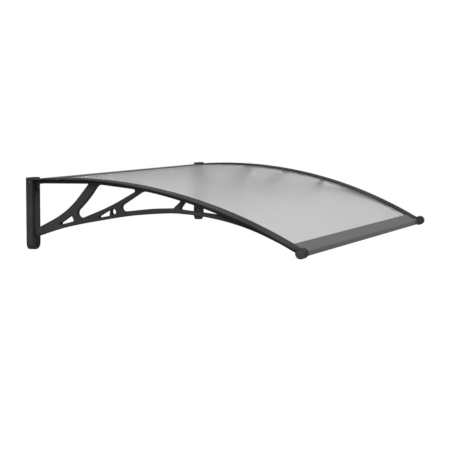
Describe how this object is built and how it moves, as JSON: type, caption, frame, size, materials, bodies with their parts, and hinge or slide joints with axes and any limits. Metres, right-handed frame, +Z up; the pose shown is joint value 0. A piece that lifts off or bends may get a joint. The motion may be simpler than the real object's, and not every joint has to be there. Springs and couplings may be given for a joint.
{
  "type": "door canopy",
  "caption": "Wall-mounted door canopy: a curved frosted polycarbonate sheet clamped between black moulded lattice brackets, with grey aluminium bars along the wall and the front edge.",
  "frame": {"origin": "the middle of the rear seal's flat face on the wall, halfway between the brackets", "axes": "+X along the wall to the right for a person facing it, +Y into the wall, +Z up; the canopy reaches out towards -Y"},
  "size_m": [1.2016, 0.8, 0.197],
  "materials": {
    "black_plastic": "satin, fine grain",
    "aluminium": "grey anodised, satin",
    "polycarbonate": "frosted, lets light through",
    "rubber": "matt",
    "screw_steel": "black passivated"
  },
  "bodies": {
    "root": {"left_bracket": "black_plastic", "left_clamp_strip": "black_plastic", "left_nose_cap": "black_plastic", "left_seal_strip": "rubber", "left_strip_screw_1": "screw_steel", "left_strip_screw_2": "screw_steel", "left_strip_screw_3": "screw_steel", "left_strip_screw_4": "screw_steel", "left_strip_screw_5": "screw_steel", "left_rear_bar_screw": "screw_steel", "left_front_bar_screw": "screw_steel", "right_bracket": "black_plastic", "right_clamp_strip": "black_plastic", "right_nose_cap": "black_plastic", "right_seal_strip": "rubber", "right_strip_screw_1": "screw_steel", "right_strip_screw_2": "screw_steel", "right_strip_screw_3": "screw_steel", "right_strip_screw_4": "screw_steel", "right_strip_screw_5": "screw_steel", "right_rear_bar_screw": "screw_steel", "right_front_bar_screw": "screw_steel", "polycarbonate_sheet": "polycarbonate", "rear_bar": "aluminium", "front_bar": "aluminium", "wall_seal": "rubber"}
  },
  "joints": []
}
